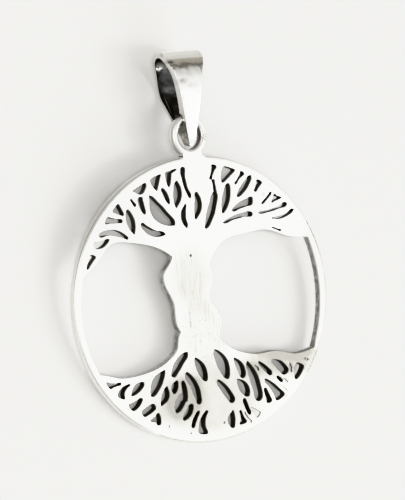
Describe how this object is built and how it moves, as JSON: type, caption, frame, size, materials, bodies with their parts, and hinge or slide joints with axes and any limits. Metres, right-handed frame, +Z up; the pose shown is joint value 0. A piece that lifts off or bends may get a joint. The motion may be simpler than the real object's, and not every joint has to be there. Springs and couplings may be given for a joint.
{
  "type": "pendant",
  "caption": "Round pierced silver pendant: a spreading tree with roots inside a narrow rim, with a loop on its edge and a tapered folded bail for a chain.",
  "frame": {"origin": "on the table, under the middle of the whole object's bounding box", "axes": "+Z up from the table it lies on; +Y from the disc towards the bail; +X to the right, seen from above with the bail at the top"},
  "size_m": [0.03, 0.041, 0.0052],
  "materials": {
    "silver": "polished sterling silver with dark recesses"
  },
  "bodies": {
    "root": {"tree_disc": "silver", "bail": "silver"}
  },
  "joints": []
}
